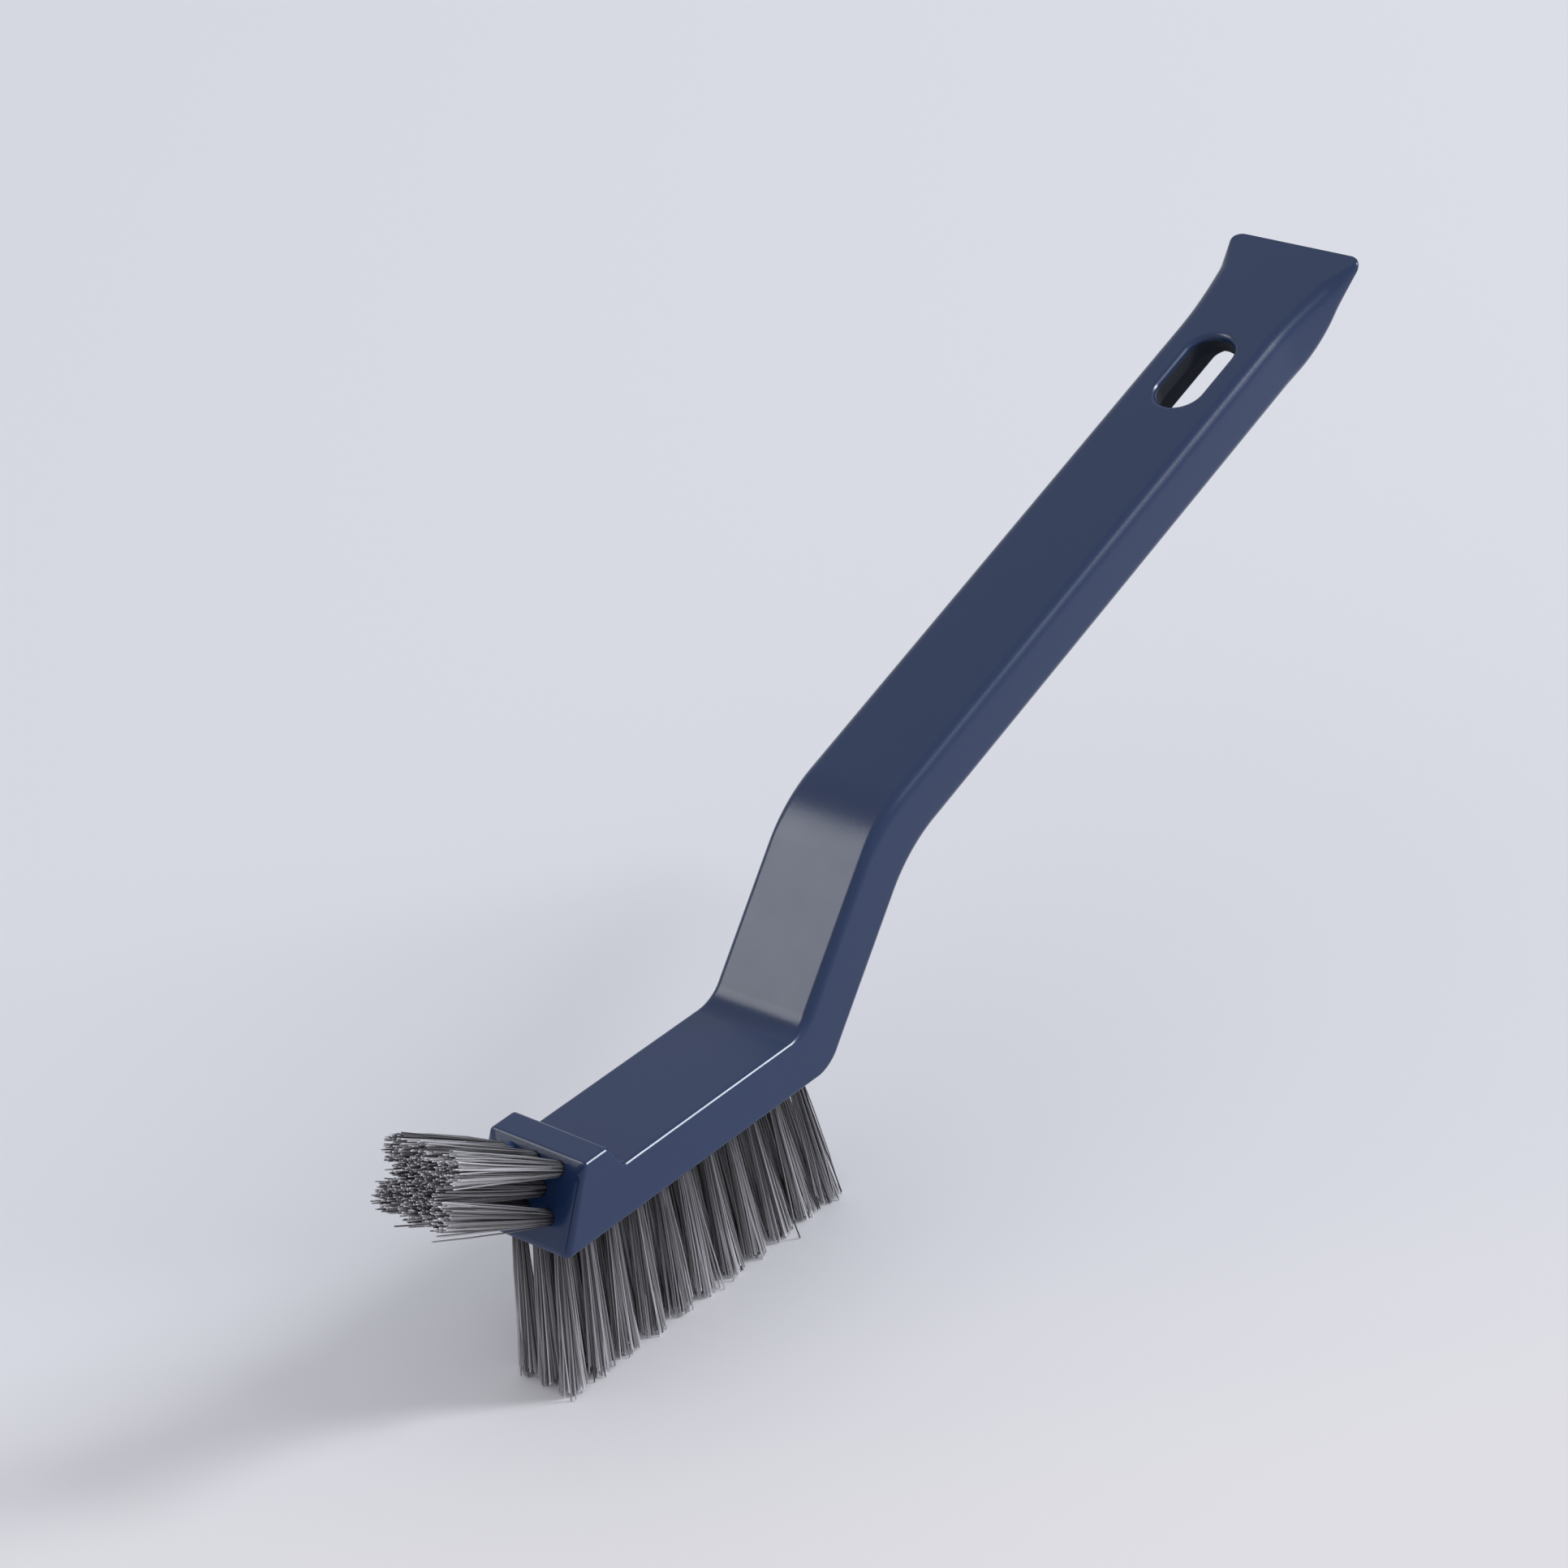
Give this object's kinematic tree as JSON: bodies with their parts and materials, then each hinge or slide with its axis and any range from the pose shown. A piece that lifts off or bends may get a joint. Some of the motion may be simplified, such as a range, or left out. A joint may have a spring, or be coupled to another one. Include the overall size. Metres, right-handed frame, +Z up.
{
  "type": "crevice cleaning brush",
  "caption": "Crevice brush with a moulded handle bent up from a flat bristled head, a slanted nose that carries more tufts, and a flared scraper end with a hang slot.",
  "frame": {"origin": "on the surface that the head's bristle tips stand on, below the middle of the brush's overall length and width", "axes": "+Z up from the bristle tips to the head, which lies level; +X along the head towards the nose tufts; +Y to the brush's left"},
  "size_m": [0.28, 0.032, 0.129],
  "materials": {
    "handle_plastic": "satin navy moulded polypropylene",
    "bristles": "grey extruded nylon bristles, cut square"
  },
  "bodies": {
    "root": {"handle": "handle_plastic", "head_tuft_01_centre": "bristles", "head_tuft_01_left": "bristles", "head_tuft_01_right": "bristles", "head_tuft_02_centre": "bristles", "head_tuft_02_left": "bristles", "head_tuft_02_right": "bristles", "head_tuft_03_centre": "bristles", "head_tuft_03_left": "bristles", "head_tuft_03_right": "bristles", "head_tuft_04_centre": "bristles", "head_tuft_04_left": "bristles", "head_tuft_04_right": "bristles", "head_tuft_05_centre": "bristles", "head_tuft_05_left": "bristles", "head_tuft_05_right": "bristles", "head_tuft_06_centre": "bristles", "head_tuft_06_left": "bristles", "head_tuft_06_right": "bristles", "head_tuft_07_centre": "bristles", "head_tuft_07_left": "bristles", "head_tuft_07_right": "bristles", "head_tuft_08_centre": "bristles", "head_tuft_08_left": "bristles", "head_tuft_08_right": "bristles", "head_tuft_09_centre": "bristles", "head_tuft_09_left": "bristles", "head_tuft_09_right": "bristles", "head_tuft_10_centre": "bristles", "head_tuft_10_left": "bristles", "head_tuft_10_right": "bristles", "head_tuft_11_centre": "bristles", "head_tuft_11_left": "bristles", "head_tuft_11_right": "bristles", "nose_tuft_lower_centre": "bristles", "nose_tuft_lower_left": "bristles", "nose_tuft_lower_right": "bristles", "nose_tuft_middle_left": "bristles", "nose_tuft_middle_right": "bristles", "nose_tuft_upper_centre": "bristles", "nose_tuft_upper_left": "bristles", "nose_tuft_upper_right": "bristles"}
  },
  "joints": []
}
